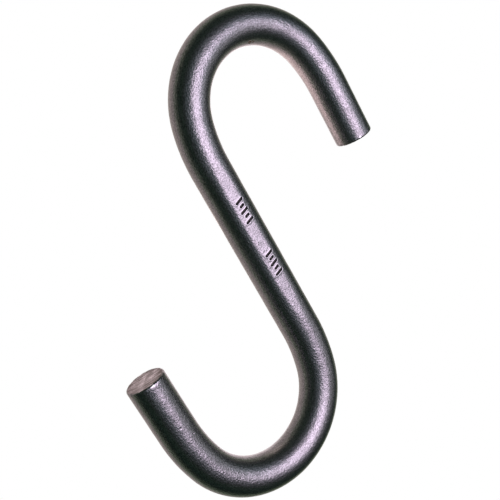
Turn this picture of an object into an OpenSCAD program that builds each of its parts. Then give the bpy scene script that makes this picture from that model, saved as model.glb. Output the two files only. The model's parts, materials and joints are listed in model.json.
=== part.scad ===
// S hook: one length of round bar bent into two like hooks that open to opposite sides.
// It hangs in the XZ plane. The origin is the upper saddle: the highest point inside the upper
// hook, where a rail or a ring carries it. +Z is up and the upper hook opens towards +X.
// The lower half is the upper half turned half a turn about the middle of the shank.

/* [Bar] */
// Diameter of the round bar
bar_d = 12.7; // [6:0.1:20]

/* [Hooks] */
// Inside diameter of the round part of each hook
hook_inside_d = 38.1; // [30:0.1:60]
// Centreline radius of the slacker bends on both sides of the round part
ease_r = 50.8; // [42:0.2:80]
// Turn of each slacker bend, in degrees
ease_turn = 16; // [5:1:20]
// Length of the straight tip past the bends
tip_l = 19.5; // [10:0.5:35]
// Length of the straight shank between the two hooks
shank_l = 58.5; // [45:0.5:120]

/* [Ends] */
// Radius of the worn edge around each cut end
end_round = 0.6; // [0.2:0.1:1.5]

/* [Stamped marks] */
// Length of the long chisel strokes
stroke_l = 3.2; // [2:0.1:4]
// Length of the short chisel strokes between them
short_stroke_l = 1.8; // [1:0.1:2]
// Width of one chisel stroke
stroke_w = 0.7; // [0.4:0.05:0.9]
// Slant of the chisel strokes away from straight across the bar, in degrees
stroke_slant = 15; // [0:1:30]
// Distance along the shank from one stroke to the next
stroke_pitch = 1.7; // [1.4:0.05:2.2]
// Depth of every mark below the bar's surface
mark_depth = 0.4; // [0.3:0.05:0.8]
// Distance between the middles of the two groups of marks
group_spacing = 19; // [16:0.5:22]
// Distance from the middle of the shank to the middle between the groups, up the shank
group_middle = 5; // [-5:0.5:5]

/* [Hidden] */
steel_colour = [0.17, 0.16, 0.19];
curve_faces = 96;
bar_faces = 48;
mark_faces = 24;
bar_r = bar_d / 2;
round_r = hook_inside_d / 2 + bar_r;

// The hook is laid out in its own plane, with the shank along +Y and its middle at zero. Its bends
// turn half a circle in all, so the tip lies parallel to the shank and each hook is as wide on
// both sides of the round part's centre.
limb_y = shank_l / 2;
ease_centre = [ease_r, limb_y];
round_centre = ease_centre + (ease_r - round_r) * [-cos(ease_turn), sin(ease_turn)];
tip_x = 2 * round_centre.x;
far_ease_centre = [tip_x - ease_r, limb_y];

// It hangs with the centres of its two round parts one above the other.
hang_lean = atan2(round_centre.x, round_centre.y);
saddle_height = norm(round_centre) + hook_inside_d / 2;

// Moves to a place in one rounded step and the small rest, so that no digits of it are lost.
module at(place) {
    rounded = [round(place.x * 10) / 10, round(place.y * 10) / 10];
    translate([rounded.x, rounded.y, 0])
        translate([place.x - rounded.x, place.y - rounded.y, 0])
            children();
}

// A stretch of bar bent around a centre, between two angles.
module bent_bar(centre, radius, from, to) {
    at(centre)
        rotate_extrude(angle = to - from, start = from, $fn = curve_faces)
            translate([radius, 0])
                circle(r = bar_r, $fn = bar_faces);
}

// The straight tip, cut square and worn round at its edge.
module tip() {
    at([tip_x, limb_y])
        rotate([90, 0, 0])
            rotate_extrude($fn = bar_faces)
                tip_outline();
}

// Half of the tip's section: the bar's radius along X, and the tip's length along Y.
module tip_outline() {
    square([bar_r, tip_l - end_round]);
    square([bar_r - end_round, tip_l]);
    translate([bar_r - end_round, tip_l - end_round])
        circle(r = end_round, $fn = mark_faces);
}

// One hook, from the top of the shank to the end of the tip.
module bent_end() {
    bent_bar(ease_centre, ease_r, 180 - ease_turn, 180);
    bent_bar(round_centre, round_r, ease_turn, 180 - ease_turn);
    bent_bar(far_ease_centre, ease_r, 0, ease_turn);
    tip();
}

// The straight shank between the two hooks.
module shank() {
    rotate([90, 0, 0])
        cylinder(r = bar_r, h = shank_l, center = true, $fn = bar_faces);
}

// A chisel stroke with round ends, lying across the bar.
module chisel_stroke(stroke) {
    straight_l = stroke - stroke_w;
    translate([-straight_l / 2, -stroke_w / 2, 0])
        cube([straight_l, stroke_w, bar_r]);
    for (side = [-1, 1])
        translate([side * straight_l / 2, 0, 0])
            cylinder(d = stroke_w, h = bar_r, $fn = mark_faces);
}

// One group: a row of slanting strokes, long and short by turns.
module mark_group() {
    for (place = [-2 : 2])
        translate([0, place * stroke_pitch, 0])
            rotate([0, 0, stroke_slant])
                chisel_stroke(place % 2 == 0 ? stroke_l : short_stroke_l);
}

// Both groups, sunk into the side of the shank that faces -Y.
module stamped_marks() {
    for (side = [-1, 1])
        translate([0, group_middle + side * group_spacing / 2, bar_r - mark_depth])
            mark_group();
}

module hook() {
    color(steel_colour)
        translate([0, 0, -saddle_height])
            rotate([90, -hang_lean, 0])
                difference() {
                    union() {
                        shank();
                        bent_end();
                        rotate([0, 0, 180])
                            bent_end();
                    }
                    stamped_marks();
                }
}

hook();
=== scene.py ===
"""A forged steel S hook with two stamped groups of marks, hanging in a plain pale studio."""

import json
import math
from typing import NamedTuple

import bmesh
import bpy
import numpy as np
from mathutils import Matrix, Vector, noise

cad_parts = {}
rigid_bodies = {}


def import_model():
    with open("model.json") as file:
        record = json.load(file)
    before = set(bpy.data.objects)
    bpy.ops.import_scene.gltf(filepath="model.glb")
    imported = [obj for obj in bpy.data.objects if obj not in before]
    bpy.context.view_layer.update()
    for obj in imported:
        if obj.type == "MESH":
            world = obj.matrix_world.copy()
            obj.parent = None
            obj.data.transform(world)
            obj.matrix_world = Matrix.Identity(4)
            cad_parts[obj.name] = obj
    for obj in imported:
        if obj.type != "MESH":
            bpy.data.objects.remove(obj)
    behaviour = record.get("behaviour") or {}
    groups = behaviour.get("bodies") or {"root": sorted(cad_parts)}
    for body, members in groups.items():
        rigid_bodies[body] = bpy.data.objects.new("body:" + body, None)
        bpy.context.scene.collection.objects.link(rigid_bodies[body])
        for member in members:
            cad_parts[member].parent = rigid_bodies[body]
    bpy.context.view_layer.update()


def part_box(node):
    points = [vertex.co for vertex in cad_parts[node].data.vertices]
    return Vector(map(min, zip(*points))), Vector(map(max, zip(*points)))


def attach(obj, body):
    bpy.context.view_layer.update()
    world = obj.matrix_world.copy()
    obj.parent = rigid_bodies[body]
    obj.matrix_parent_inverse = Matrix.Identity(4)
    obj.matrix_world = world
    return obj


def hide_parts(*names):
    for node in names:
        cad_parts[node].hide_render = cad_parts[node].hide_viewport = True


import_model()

bl_info = {
    "name": "Forged S Hook",
    "version": (1, 0, 0),
    "blender": (4, 5, 0),
    "location": "3D View > Sidebar > S Hook",
    "description": "Bends, stamps and finishes a round bar S hook around its frame",
    "category": "Add Mesh",
}

MM = 0.001
BODY = "root"
NODE = "hook"

NODE_LOW, NODE_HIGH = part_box(NODE)
BAR_D = NODE_HIGH.y - NODE_LOW.y

# How near counts as touching, how far the hook may stand out of the frame's box and how far it may
# stay inside it, and a distance beyond anything on the hook.
TOUCH = 0.01 * MM
STAND_OUT = 0.002 * MM
STAY_IN = 0.15 * MM
FAR_OFF = 1.0

# A face's lean along the bar: at most this on the bar's side, at least this on the flat of a cut end,
# and at least this where the finish of the cut ends goes.
SIDE_LEAN = 0.1
FLAT_LEAN = 0.99
END_LEAN = 0.8
# How much of the worn edge around a cut end keeps the skin's finish.
EDGE_SKIN = 0.8


# ---------------------------------------------------------------------------
# Sizes and colours
# ---------------------------------------------------------------------------


def length(name, text, value):
    """A length in metres."""
    return bpy.props.FloatProperty(
        name=name, description=text, default=value, subtype="DISTANCE", unit="LENGTH", precision=5
    )


def angle(name, text, degrees):
    """An angle, given in degrees."""
    return bpy.props.FloatProperty(
        name=name, description=text, default=math.radians(degrees), subtype="ANGLE", unit="ROTATION"
    )


def colour(name, text, value):
    """A plain colour."""
    return bpy.props.FloatVectorProperty(
        name=name, description=text, default=value, subtype="COLOR", size=3, min=0.0, max=1.5
    )


def number(name, text, value):
    """A bare number."""
    return bpy.props.FloatProperty(name=name, description=text, default=value, precision=4)


def count(name, text, value):
    """A whole number."""
    return bpy.props.IntProperty(name=name, description=text, default=value, min=1)


class HookSizes(bpy.types.PropertyGroup):
    """Sizes of the bent bar."""

    bar_d: length("Bar", "Diameter of the round bar", BAR_D)
    hook_inside_d: length("Hook", "Inside diameter of the round part of each hook", 38.1 * MM)
    ease_r: length("Slack bend", "Centreline radius of the slacker bends", 50.8 * MM)
    ease_turn: angle("Slack turn", "Turn of each slacker bend", 16.0)
    tip_l: length("Tip", "Length of the straight tip", 19.5 * MM)
    shank_l: length("Shank", "Length of the straight shank", 58.5 * MM)
    end_round: length("End edge", "Radius of the worn edge around each cut end", 0.6 * MM)
    end_steps: count("End edge steps", "Faces across that edge", 5)
    skin: length("Skin", "Room kept under the frame's surface for scale and raised lips", 0.045 * MM)
    lip_room: length("Lip room", "How far a raised lip may stand out of the bar's round", 0.02 * MM)
    around: count("Around", "Faces around the bar", 96)
    along_first: count("Along, first", "First cuts of the bar's length", 25)
    along_second: count("Along, second", "Cuts of each of those stretches", 22)
    end_span: count("End grid", "Faces across a cut end", 24)
    end_cuts: count("End cuts", "Cuts of each of those faces", 2)
    streak: length("Saw marks", "Height of the saw marks across a cut end", 0.06 * MM)
    streak_l: length("Saw mark length", "Length of one saw mark", 3.5 * MM)
    streak_w: length("Saw mark width", "Width of one saw mark", 0.7 * MM)
    streak_turn: angle("Saw mark turn", "Turn of the saw marks from the hook's plane", 26.5)
    nick: length("Nick", "Deepest nick in the edge of a cut end", 0.12 * MM)
    nick_l: length("Nick length", "Size of the nicks", 1.2 * MM)
    wave: length("Waves", "Size of the slow waves that forging left in the skin", 5.0 * MM)
    wave_height: length("Wave height", "Height of those waves", 0.050 * MM)
    flake: length("Scale", "Size of the grain of the forging scale", 1.4 * MM)
    flake_height: length("Scale height", "Height of that grain", 0.030 * MM)


class MarkSizes(bpy.types.PropertyGroup):
    """Sizes of the stamped marks."""

    stroke_l: length("Long stroke", "Length of the long chisel strokes", 3.2 * MM)
    short_l: length("Short stroke", "Length of the short chisel strokes between them", 1.8 * MM)
    stroke_w: length("Stroke width", "Width of one chisel stroke", 0.7 * MM)
    slant: angle("Slant", "Slant of the strokes away from straight across", 15.0)
    pitch: length("Pitch", "Distance from one stroke to the next", 1.7 * MM)
    depth: length("Depth", "Depth of every mark", 0.36 * MM)
    wall: length("Wall", "Width of the slope from the surface to a mark's floor", 0.24 * MM)
    lip: length("Lip", "Height of the metal pushed up around a mark", 0.08 * MM)
    lip_w: length("Lip width", "Distance from a mark's edge to the top of its lip", 0.16 * MM)
    group_spacing: length("Groups", "Distance between the middles of the groups", 19.0 * MM)
    group_middle: length("Middle", "Distance from the shank's middle up to the groups' middle", 5.0 * MM)
    flat_depth: length("Flat", "Depth of the flat that the stamping pressed along the shank", 0.23 * MM)
    flat_l: length("Flat length", "Length of the flat", 62.0 * MM)
    flat_fade: length("Flat fade", "Length over which the flat starts and ends", 14.0 * MM)
    flat_turn: angle("Flat turn", "Turn of the flat around the bar from the marks", 6.0)
    flat_ease: length("Flat ease", "Depth over which the flat's edges run out", 0.08 * MM)
    dent: length("Dents", "Depth of the shallow dents that the tool left in the flat", 0.06 * MM)
    dent_l: length("Dent length", "Size of those dents", 2.8 * MM)
    cuts: count("Cuts", "Cuts of each face under the marks", 3)


class SteelFinish(bpy.types.PropertyGroup):
    """Colours and grain of the steel."""

    dark: colour("Oxide", "Darker specks of the oxide skin", (0.108, 0.102, 0.111))
    light: colour("Steel", "Lighter, rubbed specks", (0.297, 0.277, 0.306))
    # Painted shade: near black in the hollows of the marks and, by their depth, of the scars.
    painted_recess_shade: colour("Recess", "Bottom of the stamped marks", (0.026, 0.022, 0.022))
    # Painted highlight on the raised lips around the marks and scars, in the colour of the rubbed
    # specks.
    lip: colour("Lip", "Rubbed metal around the marks", (0.300, 0.279, 0.305))
    rust: colour("Rust", "Rust at the bottom of a pit", (0.120, 0.068, 0.060))
    # Painted glint: bright bare steel on chips placed where the key softbox's highlight meets a cut
    # edge.
    chip: colour("Chip", "Bright steel where the skin is chipped off", (0.500, 0.470, 0.515))
    pressed: colour("Pressed", "Even skin of the pressed flat", (0.200, 0.188, 0.206))
    pressing: number("Pressing", "How far the flat evens out the specks", 0.6)
    end_dark: colour("End, dark", "Darker streaks of the cut ends", (0.150, 0.114, 0.117))
    end_light: colour("End, light", "Lighter streaks of the cut ends", (0.880, 0.760, 0.860))
    speck: length("Speck", "Size of the light and dark specks", 0.38 * MM)
    grain: length("Grain", "Size of the fine grain", 0.50 * MM)
    grain_height: length("Grain height", "Height of the fine grain", 0.080 * MM)
    end_height: length("End grain", "Height of the fine grain of the cut ends", 0.040 * MM)
    patch_dark: number("Patches", "How far the darker patches darken the skin", 0.35)
    roughness: number("Roughness", "Roughness of the satin skin", 0.34)
    end_roughness: number("End roughness", "Roughness of the cut ends", 0.55)


class StudioSettings(bpy.types.PropertyGroup):
    """Camera, lamps and floor."""

    bearing: angle("Bearing", "Camera's turn to the left of square to the marked side", 31.703)
    rise: angle("Rise", "Camera's height above the level of its aim", -0.534)
    roll: angle("Roll", "Camera's roll", 1.831)
    distance: length("Distance", "Camera's distance from its aim", 276.29 * MM)
    aim_x: length("Aim X", "Camera's aim along X", -2.457 * MM)
    aim_z: length("Aim Z", "Camera's aim along Z", -63.873 * MM)
    lens: number("Lens", "Focal length on a 36 mm sensor", 64.12)
    floor_drop: length("Floor drop", "Floor's depth below the hook's lowest point", 160.0 * MM)
    floor_size: length("Floor size", "Width of the floor", 8.0)
    floor_near: length("Floor near", "Where the floor starts to turn white, from its middle", 60.0 * MM)
    floor_far: length("Floor far", "Where the floor has turned white", 420.0 * MM)
    floor_glow: number("Floor glow", "Paleness of the floor's middle in full shadow", 0.62)
    floor_matt: number("Floor colour", "Grey of the floor's middle under the lamps", 0.42)
    key_turn: angle("Key turn", "Key softbox's turn to the camera's right", 40.0)
    key_rise: angle("Key rise", "Key softbox's height", 4.0)
    key_distance: length("Key distance", "Key softbox's distance from the hook", 0.8)
    key_size: length("Key size", "Width and height of the key softbox", 0.6)
    key_power: number("Key power", "Key softbox's power in watts", 6.1)
    key_colour: colour("Key colour", "Key softbox's colour", (1.0, 0.845, 0.99))
    side_turn: angle("Side turn", "Side softbox's turn to the camera's right", 80.0)
    side_rise: angle("Side rise", "Side softbox's height", 4.0)
    side_distance: length("Side distance", "Side softbox's distance from the hook", 0.9)
    side_size: length("Side size", "Width and height of the side softbox", 0.6)
    side_power: number("Side power", "Side softbox's power in watts", 0.76)
    side_colour: colour("Side colour", "Side softbox's colour", (0.97, 1.0, 1.0))
    high_turn: angle("High turn", "High softbox's turn to the camera's right", 65.0)
    high_rise: angle("High rise", "High softbox's height", 25.0)
    high_distance: length("High distance", "High softbox's distance from the hook", 0.9)
    high_size: length("High size", "Width and height of the high softbox", 0.6)
    high_power: number("High power", "High softbox's power in watts", 0.5)
    high_colour: colour("High colour", "High softbox's colour", (0.65, 0.92, 1.0))
    back_turn: angle("Back turn", "Back softbox's turn to the camera's right", 180.0)
    back_rise: angle("Back rise", "Back softbox's height", 8.0)
    back_distance: length("Back distance", "Back softbox's distance from the hook", 0.9)
    back_size: length("Back size", "Width and height of the back softbox", 0.6)
    back_power: number("Back power", "Back softbox's power in watts", 1.2)
    back_colour: colour("Back colour", "Back softbox's colour", (1.0, 0.86, 0.93))
    strip_left: length("Strip left", "Strip softbox's place to the left of the aim", 10.0 * MM)
    strip_behind: length("Strip behind", "Strip softbox's place behind the aim", 35.0 * MM)
    strip_above: length("Strip above", "Strip softbox's place above the aim", 42.0 * MM)
    strip_turn: angle("Strip turn", "Turn of the strip softbox's face to the camera's right", 45.0)
    strip_width: length("Strip width", "Width of the strip softbox", 30.0 * MM)
    strip_height: length("Strip height", "Height of the strip softbox", 80.0 * MM)
    strip_power: number("Strip power", "Strip softbox's power in watts", 0.0127)
    strip_colour: colour("Strip colour", "Strip softbox's colour", (1.0, 0.75, 0.69))
    room_lean: angle("Room lean", "Turn of the room's palest side to the camera's left", 30.0)
    room_light: number("Room light", "Grey of the room as matt surfaces are lit by it", 0.55)


class Scar(NamedTuple):
    """A small scar of handling, in millimetres and degrees on the straight bar."""

    along: float  # from the bar's lower end
    turn: float  # around the bar, from the marks
    length: float
    width: float
    depth: float
    slant: float  # away from straight across
    kind: str  # an outline only, a pit, a pit with rust in it, or a chip of bare steel that paints a glint at a cut edge


SCARS = (
    Scar(238.9, -1.5, 3.2, 0.9, 0.05, 86.0, "outline"),
    Scar(237.2, 2.5, 2.2, 0.3, 0.06, 74.0, "pit"),
    Scar(226.1, -62.0, 1.8, 1.5, 0.05, 60.0, "rust"),
    Scar(227.8, -63.0, 1.3, 1.0, 0.03, 30.0, "rust"),
    # Three chips of bare steel at the cut edges, placed where the highlight meets the edge, as painted
    # glints.
    Scar(0.4, -6.5, 1.7, 0.8, 0.02, 0.0, "chip"),
    Scar(284.7, -18.5, 1.1, 0.7, 0.02, 0.0, "chip"),
    Scar(284.6, -31.0, 0.6, 0.5, 0.02, 20.0, "chip"),
    Scar(16.1, -5.7, 0.8, 0.6, 0.08, 30.0, "pit"),
    Scar(20.2, 17.0, 0.6, 0.5, 0.14, 0.0, "pit"),
    Scar(145.9, 12.5, 1.4, 0.3, 0.07, 60.0, "pit"),
    Scar(142.8, 11.4, 1.1, 0.3, 0.08, 25.0, "pit"),
)
# The depth in millimetres at which a scar's painted shade would be as dark as a mark's and its lip's
# painted highlight full, the width of a scar's wall, the height of its lip, and how far around it the
# faces are cut finer.
SCAR_DARKEST = 0.22
SCAR_WALL = 0.2 * MM
SCAR_LIP = 0.04 * MM
SCAR_REACH = 2.4 * MM

# Places of a group's strokes from its middle. Those at odd places are short.
STROKE_PLACES = (-2, -1, 0, 1, 2)
# The fewest faces that each place of the marks and scars has to have.
PLACE_FACES = 10

# How far around the bar from its middle the flat could reach, in radians, the least depth over which
# its edges run out, and how far pressed the bar is where the dents start and where they are full.
FLAT_WIDEST = 1.0
FLAT_EASE_LEAST = 0.001 * MM
DENTS_START = 0.01
DENTS_FULL = 0.5

# What the saw marks are made of: an even part, a part that is strongest in the end's middle, long
# swells, and fine lines that are shorter and narrower than the swells by these factors.
SAW_EVEN = 0.2
SAW_MIDDLE = 0.6
SAW_SWELL = 0.7
SAW_FINE = 0.6
SAW_SHORTER = 1.5
SAW_NARROWER = 2.0

# The part of each value over which the finish changes, and how rough the specks' pattern is.
SPECK_RAGGED = 0.6
SPANS = {
    "speck": (0.3, 0.7),
    "patch": (0.35, 0.75),
    "pressed": (0.5, 0.95),
    "lip": (0.3, 1.0),
    "stamped": (0.15, 0.7),
}
# How often the skin's darker patches come for each speck, and the cut ends' blots for each grain, how
# the skin's pattern is drawn out along the bar, and how far its colours lie apart from its bumps.
PATCH_SHARE = 0.15
BLOT_SHARE = 0.2
DRAWN_OUT = (0.85, 1.0, 1.0)
APART = (0.37, 0.37, 0.37)
# How bright the saw marks are in the darkest blots, and in the darkest and lightest specks.
END_BLOTS = 0.35
END_SPECKS = (0.55, 1.45)

# Turn from one point to the next of the line that the bar is bent along.
FORMER_STEP = math.radians(0.5)

# How pale the room is, from the camera's side (0) to its far, pale side (1), as metal shows it.
ROOM_SHADES = (
    (0.00, (0.280, 0.460, 0.430)),
    (0.20, (0.004, 0.008, 0.006)),
    (0.33, (0.026, 0.076, 0.033)),
    (0.45, (0.009, 0.040, 0.030)),
    (0.58, (0.004, 0.010, 0.006)),
    (0.70, (0.415, 0.561, 0.356)),
    (0.80, (0.790, 0.665, 0.660)),
    (0.90, (0.970, 0.860, 0.780)),
    (1.00, (0.970, 0.860, 0.780)),
)

# The square softboxes, the camera's sensor in millimetres and reach in metres, the floor's sides, and
# the grey of the floor as it lights the hook.
LAMPS = ("key", "side", "high", "back")
SENSOR_W = 36.0
CLIP_NEAR = 0.01
CLIP_FAR = 50.0
FLOOR_SIDES = 96
FLOOR_BOUNCE = 0.8


# ---------------------------------------------------------------------------
# Small tools
# ---------------------------------------------------------------------------


def deselect_all():
    """Leaves nothing selected."""
    for obj in bpy.context.view_layer.objects:
        obj.select_set(False)
    bpy.context.view_layer.objects.active = None


def only(obj):
    """Makes obj the one selected object."""
    deselect_all()
    obj.select_set(True)
    bpy.context.view_layer.objects.active = obj


def need(ok, text):
    """Stops the script where something isn't as it should be."""
    if not ok:
        raise RuntimeError(text)


def edit(obj, kind):
    """Opens obj in edit mode with nothing selected."""
    only(obj)
    bpy.ops.object.mode_set(mode="EDIT")
    bpy.ops.mesh.select_mode(type=kind)
    bpy.ops.mesh.select_all(action="DESELECT")


def pick_edges(obj, test):
    """Selects the edges whose two ends pass a test, and says how many."""
    shape = bmesh.from_edit_mesh(obj.data)
    for edge in shape.edges:
        edge.select_set(test(edge.verts[0].co, edge.verts[1].co))
    bmesh.update_edit_mesh(obj.data)
    return sum(edge.select for edge in shape.edges)


def pick_faces(obj, test):
    """Selects the faces whose middle and normal pass a test, and says how many."""
    shape = bmesh.from_edit_mesh(obj.data)
    for face in shape.faces:
        face.select_set(test(face.calc_center_median(), face.normal))
    bmesh.update_edit_mesh(obj.data)
    return sum(face.select for face in shape.faces)


def points_of(obj):
    """The mesh's points as an array."""
    flat = np.zeros(len(obj.data.vertices) * 3)
    obj.data.vertices.foreach_get("co", flat)
    return flat.reshape(-1, 3)


def set_points(obj, points):
    """Moves the mesh's points."""
    obj.data.vertices.foreach_set("co", points.astype(np.float32).ravel())
    obj.data.update()


def keep_values(obj, name, kind, values):
    """Keeps one value for each point, for the finish to read."""
    attribute = obj.data.attributes.new(name, kind, "POINT")
    field = "vector" if kind == "FLOAT_VECTOR" else "value"
    attribute.data.foreach_set(field, values.astype(np.float32).ravel())


def smooth_step(t):
    """An even step from 0 to 1."""
    t = np.clip(t, 0.0, 1.0)
    return t * t * (3.0 - 2.0 * t)


# ---------------------------------------------------------------------------
# The hook
# ---------------------------------------------------------------------------


def bend_layout(sizes):
    """Centres and lengths of the bends, in the hook's plane with the shank along Y about its middle."""
    round_r = (sizes.hook_inside_d + sizes.bar_d) / 2
    limb = sizes.shank_l / 2
    turn = sizes.ease_turn
    reach = sizes.ease_r - round_r
    centre = Vector((sizes.ease_r - reach * math.cos(turn), limb + reach * math.sin(turn)))
    return {
        "radius": sizes.bar_d / 2 - sizes.skin,
        "round_r": round_r,
        "limb": limb,
        "ease": Vector((sizes.ease_r, limb)),
        "round": centre,
        "far": Vector((2 * centre.x - sizes.ease_r, limb)),
        "lean": math.atan2(centre.x, centre.y),
        "drop": centre.length + sizes.hook_inside_d / 2,
        "bar_l": 2 * (limb + 2 * sizes.ease_r * turn + round_r * (math.pi - 2 * turn) + sizes.tip_l),
    }


def upper_path(sizes, plan, step):
    """Points of the centreline from the middle of the shank to the end of the upper tip."""
    points = [Vector((0.0, 0.0)), Vector((0.0, plan["limb"]))]
    turn = sizes.ease_turn
    stretches = (
        (plan["ease"], sizes.ease_r, math.pi, math.pi - turn),
        (plan["round"], plan["round_r"], math.pi - turn, turn),
        (plan["far"], sizes.ease_r, turn, 0.0),
    )
    for centre, radius, start, end in stretches:
        parts = math.ceil((start - end) / step)
        for i in range(1, parts + 1):
            at = start + (end - start) * i / parts
            points.append(centre + radius * Vector((math.cos(at), math.sin(at))))
    points.append(points[-1] - Vector((0.0, sizes.tip_l)))
    return points


def former(sizes, plan):
    """The line that the bar is bent along, from the lower tip's end to the upper tip's end."""
    upper = upper_path(sizes, plan, FORMER_STEP)
    path = [-p for p in reversed(upper[1:])] + upper[1:]
    line = bpy.data.curves.new("former", "CURVE")
    line.dimensions = "2D"
    line.use_path = True
    line.use_deform_bounds = False
    spline = line.splines.new("POLY")
    spline.points.add(len(path) - 1)
    for point, place in zip(spline.points, path):
        point.co = (place.x, place.y, 0.0, 1.0)
    obj = bpy.data.objects.new("former", line)
    bpy.context.scene.collection.objects.link(obj)
    return obj


def cut_bar(sizes, plan):
    """A straight bar along X with worn edges around its two cut ends."""
    deselect_all()
    bar_l = plan["bar_l"]
    bpy.ops.mesh.primitive_cylinder_add(
        vertices=sizes.around,
        radius=plan["radius"],
        depth=bar_l,
        end_fill_type="NGON",
        location=(bar_l / 2, 0.0, 0.0),
        rotation=(0.0, math.radians(90), 0.0),
    )
    bar = bpy.context.object
    bar.name = "forged_hook"
    bpy.ops.object.transform_apply(location=True, rotation=True, scale=True)
    edit(bar, "EDGE")
    rims = pick_edges(bar, lambda a, b: abs(a.x - b.x) < TOUCH)
    need(rims == 2 * sizes.around, "the rims of the cut ends weren't found")
    bpy.ops.mesh.bevel(offset=sizes.end_round, segments=sizes.end_steps, affect="EDGES")
    bpy.ops.mesh.select_mode(type="FACE")
    for end in (0.0, bar_l):
        bpy.ops.mesh.select_all(action="DESELECT")
        flats = pick_faces(bar, lambda c, n: abs(c.x - end) < TOUCH)
        need(flats == 1, "the flat of a cut end wasn't found")
        bpy.ops.mesh.delete(type="ONLY_FACE")
    bpy.ops.mesh.select_mode(type="EDGE")
    for end in (0.0, bar_l):
        bpy.ops.mesh.select_all(action="DESELECT")
        pick_edges(bar, lambda a, b: max(abs(a.x - end), abs(b.x - end)) < TOUCH)
        bpy.ops.mesh.fill_grid(span=sizes.end_span)
    shortest = 2 * sizes.end_round
    for cuts in (sizes.along_first, sizes.along_second):
        bpy.ops.mesh.select_all(action="DESELECT")
        pick_edges(bar, lambda a, b: abs(a.x - b.x) > shortest)
        bpy.ops.mesh.subdivide(number_cuts=cuts, smoothness=0.0)
    bpy.ops.mesh.select_all(action="SELECT")
    bpy.ops.mesh.normals_make_consistent(inside=False)
    bpy.ops.object.mode_set(mode="OBJECT")
    return bar


def groove(along, across, long, wide, slant):
    """Distance of each point outside the edge of a straight groove, less than 0 inside it."""
    half = (long - wide) / 2
    lean, stand = math.sin(slant), math.cos(slant)
    reach = np.clip(along * lean + across * stand, -half, half)
    return np.hypot(along - reach * lean, across - reach * stand) - wide / 2


def hollow(away, wall, lip_w):
    """Depth of a hollow and height of its lip, from 0 to 1, by the distance outside its edge."""
    outside = np.maximum(away, 0.0) / lip_w
    return smooth_step(-away / wall), outside * np.exp(1.0 - outside)


def mark_distance(sizes, marks, x, turned):
    """Distance of each point outside the nearest stroke's edge, x being 0 in the shank's middle."""
    across = np.where(np.abs(turned) < math.pi / 2, -turned * sizes.bar_d / 2, FAR_OFF)
    nearest = np.full(len(x), FAR_OFF)
    for group in (-1, 1):
        middle = marks.group_middle + group * marks.group_spacing / 2
        for place in STROKE_PLACES:
            stroke = marks.short_l if place % 2 else marks.stroke_l
            beside = x - middle - place * marks.pitch
            away = groove(beside, across, stroke, marks.stroke_w, marks.slant)
            nearest = np.minimum(nearest, away)
    return nearest


def scar_distance(sizes, scar, x, turned):
    """Distance of each point outside a scar's edge."""
    along = x - scar.along * MM
    across = (math.radians(scar.turn) - turned) * sizes.bar_d / 2
    slant = math.radians(scar.slant)
    away = groove(along, across, scar.length * MM, scar.width * MM, slant)
    return np.abs(away) - SCAR_WALL if scar.kind == "outline" else away


def finer_places(marks, plan):
    """Where marks and scars need finer faces: from, to, turn and reach around the bar of each."""
    middle = plan["bar_l"] / 2 + marks.group_middle
    reach = marks.group_spacing / 2 + len(STROKE_PLACES) // 2 * marks.pitch + marks.pitch
    half = marks.stroke_l / 2 + 2 * marks.stroke_w
    places = [(middle - reach, middle + reach, 0.0, half / plan["radius"])]
    for scar in SCARS:
        near = SCAR_REACH / 2 + scar.length * MM / 4
        along = scar.along * MM
        places.append((along - near, along + near, math.radians(scar.turn), near / plan["radius"]))
    return places


def refine(bar, places, cuts):
    """Cuts the faces of some places of the bar's side finer, for what is pressed into them."""

    def pressed_here(middle, normal):
        """Whether a face lies in one of the places."""
        if abs(normal.x) > SIDE_LEAN:
            return False
        turned = math.atan2(normal.y, normal.z)
        return any(
            low < middle.x < high and abs(math.remainder(turned - turn, math.tau)) < reach
            for low, high, turn, reach in places
        )

    edit(bar, "FACE")
    found = pick_faces(bar, pressed_here)
    need(found > PLACE_FACES * len(places), "a place of the marks or scars wasn't found")
    bpy.ops.mesh.subdivide(number_cuts=cuts, smoothness=0.0)
    bpy.ops.object.mode_set(mode="OBJECT")


def pressed_radius(marks, plan, x, turned):
    """Radius of the bar's side with the flat that stamping leaves, x being 0 in the shank's middle."""
    radius = plan["radius"]
    along = smooth_step((marks.flat_l / 2 - np.abs(x - marks.group_middle)) / marks.flat_fade)
    aside = np.cos(np.clip(turned - marks.flat_turn, -FLAT_WIDEST, FLAT_WIDEST))
    sunk = radius - (radius - marks.flat_depth * along) / aside
    ease = np.maximum(marks.flat_ease * along, FLAT_EASE_LEAST)
    return radius - ease * np.logaddexp(0.0, sunk / ease)


def dented(marks, pressed, points):
    """Depth of the shallow dents that the tool left where the bar is pressed, most in the flat."""
    depth = np.zeros(len(points))
    for i in np.flatnonzero(pressed > DENTS_START):
        depth[i] = max(noise.noise(Vector(points[i]) / marks.dent_l), 0.0)
    return marks.dent * depth * np.minimum(pressed / DENTS_FULL, 1.0)


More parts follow.
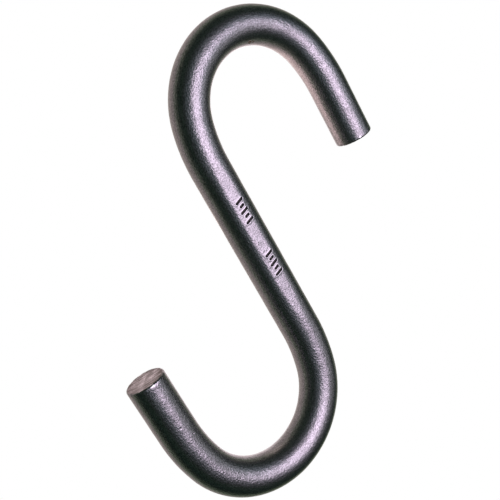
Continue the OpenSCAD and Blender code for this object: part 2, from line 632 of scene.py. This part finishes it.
def stamp(bar, sizes, marks, plan):
    """Presses the flat, the marks and the scars into the side of the straight bar."""
    refine(bar, finer_places(marks, plan), marks.cuts)
    points = points_of(bar)
    x, y, z = points.T
    radius = plan["radius"]
    out = np.hypot(y, z)
    side = out > radius - TOUCH
    turned = np.arctan2(y, z)
    from_middle = x - plan["bar_l"] / 2

    new_radius = pressed_radius(marks, plan, from_middle, turned)
    pressed = (radius - new_radius) / marks.flat_depth * side
    new_radius -= dented(marks, pressed, points)
    sunk, lip = hollow(mark_distance(sizes, marks, from_middle, turned), marks.wall, marks.lip_w)
    new_radius += marks.lip * lip - marks.depth * sunk
    # Rust is the pits' own colour; the chips paint glints.
    tints = {"rust": np.zeros(len(points)), "chip": np.zeros(len(points))}
    for scar in SCARS:
        hole, edge = hollow(scar_distance(sizes, scar, x, turned), SCAR_WALL, SCAR_WALL)
        new_radius += SCAR_LIP * edge - scar.depth * MM * hole
        if scar.kind in tints:
            tints[scar.kind] = np.maximum(tints[scar.kind], hole)
        else:
            # Other scars add painted shade to their hollows and a painted highlight to their lips, the
            # more the deeper they are.
            sunk = np.maximum(sunk, scar.depth / SCAR_DARKEST * hole)
            lip = np.maximum(lip, scar.depth / SCAR_DARKEST * edge)
    new_radius = np.minimum(new_radius, radius + sizes.lip_room)

    skin = out > radius - sizes.end_round
    points[side, 1] = (np.sin(turned) * new_radius)[side]
    points[side, 2] = (np.cos(turned) * new_radius)[side]
    set_points(bar, points)
    # Painted shade for the hollows of the marks and scars, and a painted highlight for their lips, kept
    # for the finish.
    keep_values(bar, "stamped", "FLOAT", sunk * side)
    keep_values(bar, "lip", "FLOAT", lip * side)
    for kind, share in tints.items():
        keep_values(bar, kind, "FLOAT", share * skin)
    keep_values(bar, "pressed", "FLOAT", pressed)


def saw_streak(sizes, along, across, middle, end):
    """Height of the saw marks at a place of a cut end, from about 0 to 1."""
    lean, stand = math.sin(sizes.streak_turn), math.cos(sizes.streak_turn)
    lengthwise = (along * stand + across * lean) / sizes.streak_l
    beside = (across * stand - along * lean) / sizes.streak_w
    swell = noise.noise(Vector((lengthwise, beside, end)))
    fine = noise.noise(Vector((SAW_SHORTER * lengthwise, SAW_NARROWER * beside, end + 1.0)))
    return SAW_EVEN + SAW_MIDDLE * middle + SAW_SWELL * swell + SAW_FINE * fine


def saw_ends(bar, sizes, plan):
    """Draws the saw marks across the cut ends and nicks their edges."""
    edit(bar, "FACE")
    pick_faces(bar, lambda c, n: abs(n.x) > FLAT_LEAN)
    bpy.ops.mesh.subdivide(number_cuts=sizes.end_cuts, smoothness=0.0)
    bpy.ops.object.mode_set(mode="OBJECT")
    radius = plan["radius"]
    edge_w = sizes.end_round
    points = points_of(bar)
    streaks = np.zeros(len(points))
    for end, inward in ((0.0, 1.0), (plan["bar_l"], -1.0)):
        for i in np.flatnonzero(np.abs(points[:, 0] - end) <= 2 * edge_w):
            x, y, z = points[i]
            out = math.hypot(y, z)
            streaks[i] = saw_streak(sizes, y, z, 1.0 - (out / radius) ** 2, end)
            flat = smooth_step((radius - edge_w - out) / edge_w)
            edge = smooth_step((2 * edge_w - abs(x - end)) / edge_w) * (1.0 - flat)
            nick = sizes.nick * max(0.0, noise.noise(Vector((y, z, end)) / sizes.nick_l)) * edge
            points[i, 0] += inward * (sizes.streak * streaks[i] * flat + nick)
            points[i, 1:] *= 1.0 - nick / max(out, MM)
    set_points(bar, points)
    keep_values(bar, "streak", "FLOAT", np.clip(streaks, 0.0, 1.0))


def roughen(bar, name, size, height):
    """Pushes the bar's skin in and out by a cloudy pattern, and applies it."""
    pattern = bpy.data.textures.new(name, "CLOUDS")
    pattern.noise_scale = size
    pattern.noise_depth = 1
    only(bar)
    bpy.ops.object.modifier_add(type="DISPLACE")
    push = bar.modifiers[-1]
    push.texture = pattern
    push.texture_coords = "LOCAL"
    push.strength = height
    push.mid_level = 0.5
    bpy.ops.object.modifier_apply(modifier=push.name)
    bpy.data.textures.remove(pattern)


def bend(bar, sizes, plan):
    """Bends the straight bar along its former and hangs it by the upper saddle."""
    line = former(sizes, plan)
    only(bar)
    bpy.ops.object.modifier_add(type="CURVE")
    curve = bar.modifiers[-1]
    curve.object = line
    curve.deform_axis = "POS_X"
    bpy.ops.object.modifier_apply(modifier=curve.name)
    bpy.data.objects.remove(line)
    only(bar)
    bar.rotation_euler = (math.radians(90), -plan["lean"], 0.0)
    bar.location = (0.0, 0.0, -plan["drop"])
    bpy.ops.object.transform_apply(location=True, rotation=True, scale=True)


def within_frame(bar):
    """Stops the script where the finished hook isn't the frame's size."""
    points = points_of(bar)
    for i, axis in enumerate("XYZ"):
        low = points[:, i].min() - NODE_LOW[i]
        high = NODE_HIGH[i] - points[:, i].max()
        for gap, side in ((low, "low"), (high, "high")):
            fits = -STAND_OUT < gap < STAY_IN
            need(fits, f"the hook is {gap} m inside the frame at the {side} end of {axis}")


# ---------------------------------------------------------------------------
# Finishes
# ---------------------------------------------------------------------------


class Board:
    """Places and links the nodes of a finish."""

    def __init__(self, owner):
        owner.use_nodes = True
        self.tree = owner.node_tree
        self.tree.nodes.clear()

    def add(self, kind, **settings):
        """Adds a node, with its settings and the values of its inputs by name or number."""
        node = self.tree.nodes.new(kind)
        inputs = settings.pop("inputs", {})
        for key, value in settings.items():
            setattr(node, key, value)
        for key, value in inputs.items():
            if isinstance(value, bpy.types.NodeSocket):
                self.tree.links.new(value, node.inputs[key])
            else:
                node.inputs[key].default_value = value
        return node

    def value(self, name):
        """A value kept at the points."""
        return self.add("ShaderNodeAttribute", attribute_name=name).outputs["Fac"]

    def noise(self, vector, scale, detail, **more):
        """Noise between 0 and 1."""
        inputs = {"Vector": vector, "Scale": scale, "Detail": detail}
        inputs.update(more)
        return self.add("ShaderNodeTexNoise", inputs=inputs).outputs["Fac"]

    def stretch(self, vector, scale, shift=(0.0, 0.0, 0.0)):
        """Stretches and shifts a pattern's coordinates."""
        inputs = {"Vector": vector, "Scale": scale, "Location": shift}
        return self.add("ShaderNodeMapping", inputs=inputs).outputs["Vector"]

    def spread(self, value, low, high, to_low=0.0, to_high=1.0):
        """Stretches the part of a value between low and high over a new span."""
        inputs = {0: value, 1: low, 2: high, 3: to_low, 4: to_high}
        return self.add("ShaderNodeMapRange", clamp=True, inputs=inputs).outputs[0]

    def math(self, what, a, b):
        """One sum of two values."""
        return self.add("ShaderNodeMath", operation=what, inputs={0: a, 1: b}).outputs[0]

    def mix(self, share, a, b):
        """A colour between two colours."""
        node = self.add("ShaderNodeMix", data_type="RGBA")
        for key, value in (("Factor_Float", share), ("A_Color", a), ("B_Color", b)):
            socket = next(s for s in node.inputs if s.identifier == key)
            if isinstance(value, bpy.types.NodeSocket):
                self.tree.links.new(value, socket)
            else:
                socket.default_value = value
        return next(s for s in node.outputs if s.identifier == "Result_Color")


def opaque(shade):
    """A colour with full cover."""
    return (*shade, 1.0)


def grey(value):
    """A grey with full cover."""
    return (value, value, value, 1.0)


def metal(board, tint, roughness, grain, height):
    """Joins colour, sheen and the bumps of a grain into bare metal."""
    bump = board.add(
        "ShaderNodeBump", inputs={"Strength": 1.0, "Distance": height, "Height": grain}
    ).outputs["Normal"]
    shader = board.add(
        "ShaderNodeBsdfPrincipled",
        inputs={"Base Color": tint, "Metallic": 1.0, "Roughness": roughness, "Normal": bump},
    )
    board.add("ShaderNodeOutputMaterial", inputs={"Surface": shader.outputs[0]})


def bar_steel(finish):
    """Dark oxide skin with a fine grain and light specks, drawn out a little along the bar, with rust in
    pits, painted shade in the marks and scars, painted highlights on their lips and painted glints on
    chips at the cut edges.
    """
    steel = bpy.data.materials.new("oxide_steel")
    board = Board(steel)
    straight = board.add("ShaderNodeAttribute", attribute_name="straight").outputs["Vector"]
    stamped = board.value("stamped")
    drawn = board.stretch(straight, DRAWN_OUT)
    moved = board.stretch(straight, DRAWN_OUT, APART)

    grain = board.noise(drawn, 1.0 / finish.grain, 1.0)
    specks = board.noise(moved, 1.0 / finish.speck, 1.0, Roughness=SPECK_RAGGED)
    patches = board.noise(drawn, PATCH_SHARE / finish.speck, 2.0)
    skin = board.mix(
        board.spread(specks, *SPANS["speck"]), opaque(finish.dark), opaque(finish.light)
    )
    dim = board.spread(patches, *SPANS["patch"], 0.0, finish.patch_dark)
    patched = board.mix(dim, skin, opaque(finish.dark))
    even = board.spread(board.value("pressed"), *SPANS["pressed"])
    smooth = board.math("MULTIPLY", even, finish.pressing)
    pressed = board.mix(smooth, patched, opaque(finish.pressed))
    # Painted highlight on the raised lips of the marks and scars.
    rubbed = board.spread(board.value("lip"), *SPANS["lip"])
    edged = board.mix(rubbed, pressed, opaque(finish.lip))
    rusted = board.mix(board.value("rust"), edged, opaque(finish.rust))
    # Painted glints on the chips at the cut edges.
    chipped = board.mix(board.value("chip"), rusted, opaque(finish.chip))
    # Painted shade in the hollows of the marks and scars, darker the deeper they are.
    tint = board.mix(board.spread(stamped, *SPANS["stamped"]), chipped, opaque(finish.painted_recess_shade))
    metal(board, tint, finish.roughness, grain, finish.grain_height)
    return steel


def end_steel(finish):
    """Matt, streaked steel of a sawn end."""
    steel = bpy.data.materials.new("sawn_end")
    board = Board(steel)
    straight = board.add("ShaderNodeAttribute", attribute_name="straight").outputs["Vector"]
    specks = board.noise(straight, 1.0 / finish.speck, 2.0, Roughness=SPECK_RAGGED)
    blots = board.noise(straight, BLOT_SHARE / finish.grain, 2.0)
    blotted = board.spread(blots, *SPANS["speck"], END_BLOTS)
    streaks = board.math("MULTIPLY", board.value("streak"), blotted)
    share = board.math("MULTIPLY", streaks, board.spread(specks, *SPANS["speck"], *END_SPECKS))
    tint = board.mix(share, opaque(finish.end_dark), opaque(finish.end_light))
    metal(board, tint, finish.end_roughness, specks, finish.end_height)
    return steel


def finish_faces(bar, sizes, plan):
    """Gives the flat of each cut end the second finish, while the bar is straight."""
    radius = plan["radius"] - EDGE_SKIN * sizes.end_round
    for face in bar.data.polygons:
        middle = face.center
        flat = abs(face.normal.x) > END_LEAN
        face.material_index = int(flat and math.hypot(middle.y, middle.z) < radius)


class SHOOK_OT_hook(bpy.types.Operator):
    """Cut, stamp, roughen and bend the bar, and give it its finish"""

    bl_idname = "s_hook.hook"
    bl_label = "Forged hook"

    def execute(self, context):
        sizes = context.scene.s_hook_sizes
        marks = context.scene.s_hook_marks
        finish = context.scene.s_hook_finish
        plan = bend_layout(sizes)
        bar = cut_bar(sizes, plan)
        stamp(bar, sizes, marks, plan)
        saw_ends(bar, sizes, plan)
        roughen(bar, "slow_waves", sizes.wave, sizes.wave_height)
        roughen(bar, "scale_grain", sizes.flake, sizes.flake_height)
        bar.data.materials.append(bar_steel(finish))
        bar.data.materials.append(end_steel(finish))
        finish_faces(bar, sizes, plan)
        keep_values(bar, "straight", "FLOAT_VECTOR", points_of(bar))
        bend(bar, sizes, plan)
        bpy.ops.object.shade_smooth()
        within_frame(bar)
        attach(bar, BODY)
        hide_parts(NODE)
        return {"FINISHED"}


# ---------------------------------------------------------------------------
# Stage
# ---------------------------------------------------------------------------


def facing(bearing, rise):
    """The direction that faces the hook from a bearing and a rise."""
    level = math.cos(rise)
    return Vector((math.sin(bearing) * level, math.cos(bearing) * level, -math.sin(rise)))


def camera_axes(studio):
    """The camera's right, up and forward directions."""
    forward = facing(studio.bearing, studio.rise)
    right = Vector((math.cos(studio.bearing), -math.sin(studio.bearing), 0.0))
    up = right.cross(forward)
    c, s = math.cos(studio.roll), math.sin(studio.roll)
    return c * right + s * up, c * up - s * right, forward


def aim_point(studio):
    """The point that the camera and the softboxes are aimed at."""
    return Vector((studio.aim_x, 0.0, studio.aim_z))


def set_camera(studio):
    """The camera, almost level with the middle of the hook."""
    right, up, forward = camera_axes(studio)
    camera = bpy.data.objects.new("camera", bpy.data.cameras.new("camera"))
    bpy.context.scene.collection.objects.link(camera)
    camera.data.lens = studio.lens
    camera.data.sensor_width = SENSOR_W
    camera.data.clip_start = CLIP_NEAR
    camera.data.clip_end = CLIP_FAR
    turned = Matrix((right, up, -forward)).transposed()
    place = aim_point(studio) - studio.distance * forward
    camera.matrix_world = Matrix.Translation(place) @ turned.to_4x4()
    bpy.context.scene.camera = camera


def add_softbox(name, place, shine, width, height, power, tint):
    """A softbox that the camera doesn't see, shining one way."""
    lamp = bpy.data.objects.new(f"{name}_softbox", bpy.data.lights.new(f"{name}_softbox", "AREA"))
    bpy.context.scene.collection.objects.link(lamp)
    lamp.data.shape = "RECTANGLE"
    lamp.data.size = width
    lamp.data.size_y = height
    lamp.data.energy = power
    lamp.data.color = tint
    lamp.location = place
    lamp.rotation_mode = "QUATERNION"
    lamp.rotation_quaternion = shine.to_track_quat("-Z", "Y")
    lamp.visible_camera = False


def set_lamp(studio, name):
    """A square softbox aimed at the hook, placed by its turn to the camera's right and its rise."""
    turn, rise, distance, size, power, tint = (
        getattr(studio, f"{name}_{part}")
        for part in ("turn", "rise", "distance", "size", "power", "colour")
    )
    shine = facing(studio.bearing - turn, rise)
    add_softbox(name, aim_point(studio) - shine * distance, shine, size, size, power, tint)


def set_strip(studio):
    """A small softbox close behind the upper hook, for the left side of its free limb."""
    right, up, forward = camera_axes(studio)
    place = aim_point(studio) + forward * studio.strip_behind + up * studio.strip_above
    place -= right * studio.strip_left
    shine = right * math.sin(studio.strip_turn) - forward * math.cos(studio.strip_turn)
    width, height = studio.strip_width, studio.strip_height
    add_softbox("strip", place, shine, width, height, studio.strip_power, studio.strip_colour)


def room_shade(board, direction, studio):
    """The room as metal shows it: pale behind the hook and on its left, dim towards the camera."""
    right, _, forward = camera_axes(studio)
    lean = studio.room_lean
    axis = forward * math.cos(lean) - right * math.sin(lean)
    along = board.add(
        "ShaderNodeVectorMath", operation="NORMALIZE", inputs={0: direction}
    ).outputs["Vector"]
    share = board.add(
        "ShaderNodeVectorMath", operation="DOT_PRODUCT", inputs={0: along, 1: axis}
    ).outputs["Value"]
    ramp = board.add("ShaderNodeValToRGB", inputs={0: board.spread(share, -1.0, 1.0)})
    stops = ramp.color_ramp.elements
    stops[0].position, stops[1].position = ROOM_SHADES[0][0], ROOM_SHADES[-1][0]
    stops[0].color, stops[1].color = opaque(ROOM_SHADES[0][1]), opaque(ROOM_SHADES[-1][1])
    for place, shade in ROOM_SHADES[1:-1]:
        stops.new(place).color = opaque(shade)
    return ramp.outputs["Color"]


def set_world(studio):
    """White where the camera looks past the hook, and the room's shades where metal shows it."""
    world = bpy.data.worlds.new("studio_room")
    bpy.context.scene.world = world
    board = Board(world)
    path = board.add("ShaderNodeLightPath").outputs
    direction = board.add("ShaderNodeTexCoord").outputs["Generated"]
    mirror = board.math("MAXIMUM", path["Is Glossy Ray"], path["Is Transmission Ray"])
    room = room_shade(board, direction, studio)
    around = board.mix(mirror, grey(studio.room_light), room)
    seen = board.mix(path["Is Camera Ray"], around, grey(1.0))
    light = board.add("ShaderNodeBackground", inputs={"Color": seen, "Strength": 1.0})
    board.add("ShaderNodeOutputWorld", inputs={"Surface": light.outputs[0]})


def floor_paint(studio, drop):
    """Pale floor that takes the hook's shadow and turns into the white room further out.

    Metal sees the room's shades in it, as they lie from the hook's middle, which is drop above it.
    """
    paint = bpy.data.materials.new("pale_floor")
    board = Board(paint)
    path = board.add("ShaderNodeLightPath").outputs
    place = board.add("ShaderNodeTexCoord").outputs["Object"]
    down = board.add(
        "ShaderNodeVectorMath", operation="ADD", inputs={0: place, 1: (0.0, 0.0, -drop)}
    ).outputs["Vector"]
    away = board.add(
        "ShaderNodeVectorMath", operation="LENGTH", inputs={0: place}
    ).outputs["Value"]
    far = board.add(
        "ShaderNodeMapRange",
        interpolation_type="SMOOTHSTEP",
        clamp=True,
        inputs={0: away, 1: studio.floor_near, 2: studio.floor_far, 3: 0.0, 4: 1.0},
    ).outputs[0]
    glow = board.mix(far, grey(studio.floor_glow), grey(1.0))
    matt = board.mix(far, grey(studio.floor_matt), grey(0.0))
    lit = board.add("ShaderNodeBsdfDiffuse", inputs={"Color": matt})
    lift = board.add("ShaderNodeEmission", inputs={"Color": glow})
    seen = board.add("ShaderNodeAddShader", inputs={0: lit.outputs[0], 1: lift.outputs[0]})
    mirror = board.math("MAXIMUM", path["Is Glossy Ray"], path["Is Transmission Ray"])
    room = board.add("ShaderNodeEmission", inputs={"Color": room_shade(board, down, studio)})
    plain = board.add("ShaderNodeBsdfDiffuse", inputs={"Color": grey(FLOOR_BOUNCE)})
    other = board.add(
        "ShaderNodeMixShader", inputs={0: mirror, 1: plain.outputs[0], 2: room.outputs[0]}
    )
    surface = board.add(
        "ShaderNodeMixShader",
        inputs={0: path["Is Camera Ray"], 1: other.outputs[0], 2: seen.outputs[0]},
    )
    board.add("ShaderNodeOutputMaterial", inputs={"Surface": surface.outputs[0]})
    return paint


def lay_floor(studio):
    """A round floor below the hanging hook."""
    deselect_all()
    level = NODE_LOW.z - studio.floor_drop
    bpy.ops.mesh.primitive_circle_add(
        vertices=FLOOR_SIDES,
        radius=studio.floor_size / 2,
        fill_type="NGON",
        location=(0.0, 0.0, level),
    )
    floor = bpy.context.object
    floor.name = "pale_floor"
    edit(floor, "FACE")
    bpy.ops.mesh.select_all(action="SELECT")
    bpy.ops.mesh.inset(thickness=studio.floor_size / 4)
    bpy.ops.object.mode_set(mode="OBJECT")
    middle = (NODE_LOW.z + NODE_HIGH.z) / 2
    floor.data.materials.append(floor_paint(studio, middle - level))


class SHOOK_OT_stage(bpy.types.Operator):
    """Lay the pale floor, and set the camera, the softboxes and the white room"""

    bl_idname = "s_hook.stage"
    bl_label = "Stage"

    def execute(self, context):
        studio = context.scene.s_hook_studio
        lay_floor(studio)
        set_world(studio)
        set_camera(studio)
        for lamp in LAMPS:
            set_lamp(studio, lamp)
        set_strip(studio)
        context.scene.view_settings.view_transform = "Standard"
        return {"FINISHED"}


class SHOOK_PT_panel(bpy.types.Panel):
    """The hook's steps in the sidebar"""

    bl_idname = "SHOOK_PT_panel"
    bl_label = "S hook"
    bl_space_type = "VIEW_3D"
    bl_region_type = "UI"
    bl_category = "S Hook"

    def draw(self, context):
        for group in GROUPS:
            box = self.layout.box()
            settings = getattr(context.scene, group)
            for name in settings.__annotations__:
                box.prop(settings, name)
        self.layout.operator(SHOOK_OT_hook.bl_idname)
        self.layout.operator(SHOOK_OT_stage.bl_idname)


GROUPS = {
    "s_hook_sizes": HookSizes,
    "s_hook_marks": MarkSizes,
    "s_hook_finish": SteelFinish,
    "s_hook_studio": StudioSettings,
}
PARTS = (SHOOK_OT_hook, SHOOK_OT_stage, SHOOK_PT_panel)


def register():
    """Adds the settings, the steps and the panel."""
    for name, group in GROUPS.items():
        bpy.utils.register_class(group)
        setattr(bpy.types.Scene, name, bpy.props.PointerProperty(type=group))
    for part in PARTS:
        bpy.utils.register_class(part)


def unregister():
    """Takes them away again."""
    for part in reversed(PARTS):
        bpy.utils.unregister_class(part)
    for name, group in reversed(GROUPS.items()):
        delattr(bpy.types.Scene, name)
        bpy.utils.unregister_class(group)


def main():
    """Makes the hook and its stage."""
    register()
    bpy.ops.s_hook.hook()
    bpy.ops.s_hook.stage()


if __name__ == "__main__":
    main()
